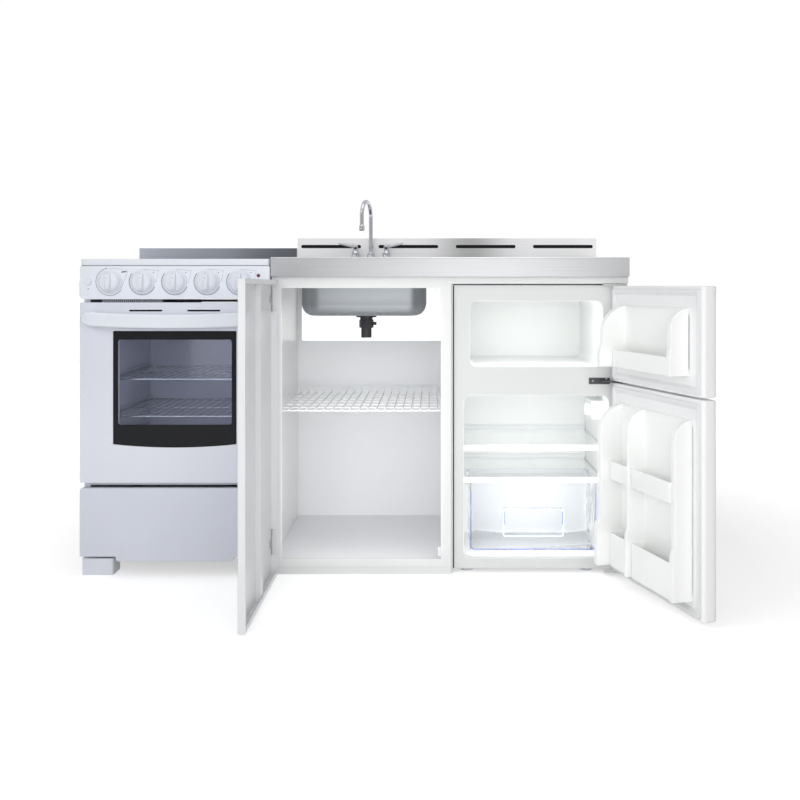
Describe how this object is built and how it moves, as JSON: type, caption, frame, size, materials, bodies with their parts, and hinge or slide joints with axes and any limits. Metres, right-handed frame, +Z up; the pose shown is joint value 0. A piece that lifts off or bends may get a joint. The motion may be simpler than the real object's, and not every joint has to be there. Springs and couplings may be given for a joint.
{
  "type": "kitchenette unit",
  "caption": "Steel kitchenette with a sink cabinet, an under-counter fridge and a free-standing electric cooker with oven, its cabinet and fridge doors standing open.",
  "frame": {"origin": "on the floor, under the middle of the partition between the sink cabinet and the fridge", "axes": "+X to the right seen from the front, along the length; +Y to the back, towards the wall; +Z up"},
  "size_m": [1.6524, 1.103, 1.084],
  "materials": {
    "white_enamel": "gloss enamel, white",
    "grey_enamel": "satin enamel, light grey",
    "worktop_steel": "brushed along the length",
    "bright_chrome": "polished",
    "black_plastic": "fine matt grain",
    "white_wire": "dipped coating, white",
    "white_plastic": "smooth moulding",
    "hinge_steel": "zinc plated",
    "cooker_enamel": "gloss enamel, cool white",
    "cooker_plastic": "smooth moulding, cool white",
    "element_metal": "dark sheath of a heating element",
    "lamp_glass": "red pilot lens and clear lamp glass",
    "oven_enamel": "speckled grey enamel",
    "window_glass": "tinted glass with a dark border",
    "fridge_shell": "white shell round foam",
    "liner_plastic": "vacuum-formed, white",
    "shelf_glass": "clear shelf with white trims",
    "clear_plastic": "frosted clear moulding",
    "seal_rubber": "soft moulded seal",
    "dark_plate": "dark painted plate",
    "black_metal": "black satin paint"
  },
  "bodies": {
    "base": {"side_panels": "white_enamel", "partition_panel": "white_enamel", "cabinet_floor": "grey_enamel", "cabinet_back": "grey_enamel", "face_frame": "white_enamel", "worktop": "worktop_steel", "backsplash": "white_enamel", "sink_bowl": "worktop_steel", "sink_strainer": "worktop_steel", "drain_tailpiece": "black_plastic", "tap_base": "bright_chrome", "wire_shelf": "white_wire", "cabinet_fittings": "white_wire", "cabinet_hinges": "hinge_steel", "cooker_panels": "cooker_enamel", "cooker_base": "cooker_enamel", "feet": "cooker_plastic", "hob_top": "cooker_enamel", "rear_strip": "worktop_steel", "drip_bowls": "bright_chrome", "hotplate_coils": "element_metal", "control_panel": "cooker_plastic", "switches_and_sockets": "black_plastic", "lamps": "lamp_glass", "oven_front_frame": "cooker_enamel", "oven_seal": "seal_rubber", "oven_cavity": "oven_enamel", "oven_racks": "bright_chrome", "oven_elements": "element_metal", "fridge_case": "fridge_shell", "fridge_liners": "liner_plastic", "fridge_shelves": "shelf_glass", "thermostat": "white_plastic", "fridge_hinges": "dark_plate", "cooling_circuit": "black_metal"},
    "sink_door": {"sink_door": "white_enamel", "door_stiffener": "white_enamel", "door_pull": "white_plastic", "door_hinge_knuckles": "hinge_steel"},
    "oven_door": {"oven_door": "cooker_enamel", "oven_door_liner": "cooker_enamel", "oven_window": "window_glass", "oven_handle": "cooker_plastic"},
    "storage_drawer": {"drawer_front": "cooker_enamel", "drawer_tray": "cooker_enamel"},
    "freezer_door": {"freezer_door": "fridge_shell", "freezer_gasket": "seal_rubber"},
    "cooler_door": {"cooler_door": "fridge_shell", "cooler_gasket": "seal_rubber"},
    "crisper": {"crisper_drawer": "clear_plastic"},
    "spout": {"tap_spout": "bright_chrome"},
    "lever_left": {"tap_lever_left": "bright_chrome"},
    "lever_right": {"tap_lever_right": "bright_chrome"},
    "dial_oven": {"knob_oven": "cooker_plastic"},
    "dial_front_left": {"knob_front_left": "cooker_plastic"},
    "dial_rear_left": {"knob_rear_left": "cooker_plastic"},
    "dial_rear_right": {"knob_rear_right": "cooker_plastic"},
    "dial_front_right": {"knob_front_right": "cooker_plastic"},
    "lamp_switch": {"lamp_button": "cooker_plastic"},
    "cold_dial": {"thermostat_dial": "white_plastic"}
  },
  "joints": [
    {"name": "sink_door_hinge", "type": "hinge", "parent": "base", "child": "sink_door", "pos_m": [-0.5005, -0.3005, 0.42], "axis": [0, 0, -1], "range_deg": [-90, 8]},
    {"name": "freezer_door_hinge", "type": "hinge", "parent": "base", "child": "freezer_door", "pos_m": [0.4713, -0.292, 0.674], "axis": [0, 0, 1], "range_deg": [-106, 14]},
    {"name": "cooler_door_hinge", "type": "hinge", "parent": "base", "child": "cooler_door", "pos_m": [0.4713, -0.292, 0.275], "axis": [0, 0, 1], "range_deg": [-106, 14]},
    {"name": "oven_door_hinge", "type": "hinge", "parent": "base", "child": "oven_door", "pos_m": [-0.7695, -0.283, 0.268], "axis": [-1, 0, 0], "range_deg": [-88, 0]},
    {"name": "storage_drawer_slide", "type": "slide", "parent": "base", "child": "storage_drawer", "axis": [0, 1, 0], "range_m": [-0.3, 0]},
    {"name": "crisper_slide", "type": "slide", "parent": "base", "child": "crisper", "axis": [0, -1, 0], "range_m": [0, 0.15]},
    {"name": "spout_swivel", "type": "hinge", "parent": "base", "child": "spout", "pos_m": [-0.257, 0.228, 0.92], "axis": [0, 0, 1], "range_deg": [-60, 60]},
    {"name": "left_lever_turn", "type": "hinge", "parent": "base", "child": "lever_left", "pos_m": [-0.3078, 0.228, 0.92], "axis": [0, 0, 1], "range_deg": [0, 90]},
    {"name": "right_lever_turn", "type": "hinge", "parent": "base", "child": "lever_right", "pos_m": [-0.2062, 0.228, 0.92], "axis": [0, 0, -1], "range_deg": [0, 90]},
    {"name": "oven_dial_turn", "type": "hinge", "parent": "base", "child": "dial_oven", "pos_m": [-0.9495, -0.318, 0.8175], "axis": [0, 1, 0], "range_deg": [0, 300]},
    {"name": "front_left_dial_turn", "type": "hinge", "parent": "base", "child": "dial_front_left", "pos_m": [-0.8595, -0.318, 0.8175], "axis": [0, 1, 0], "continuous": true},
    {"name": "rear_left_dial_turn", "type": "hinge", "parent": "base", "child": "dial_rear_left", "pos_m": [-0.7695, -0.318, 0.8175], "axis": [0, 1, 0], "continuous": true},
    {"name": "rear_right_dial_turn", "type": "hinge", "parent": "base", "child": "dial_rear_right", "pos_m": [-0.6795, -0.318, 0.8175], "axis": [0, 1, 0], "continuous": true},
    {"name": "front_right_dial_turn", "type": "hinge", "parent": "base", "child": "dial_front_right", "pos_m": [-0.5895, -0.318, 0.8175], "axis": [0, 1, 0], "continuous": true},
    {"name": "lamp_button_push", "type": "slide", "parent": "base", "child": "lamp_switch", "axis": [0, 1, 0], "range_m": [0, 0.002], "stiffness_N_per_m": 300},
    {"name": "cold_dial_turn", "type": "hinge", "parent": "base", "child": "cold_dial", "pos_m": [0.4, -0.138, 0.446], "axis": [1, 0, 0], "range_deg": [-140, 140]}
  ]
}
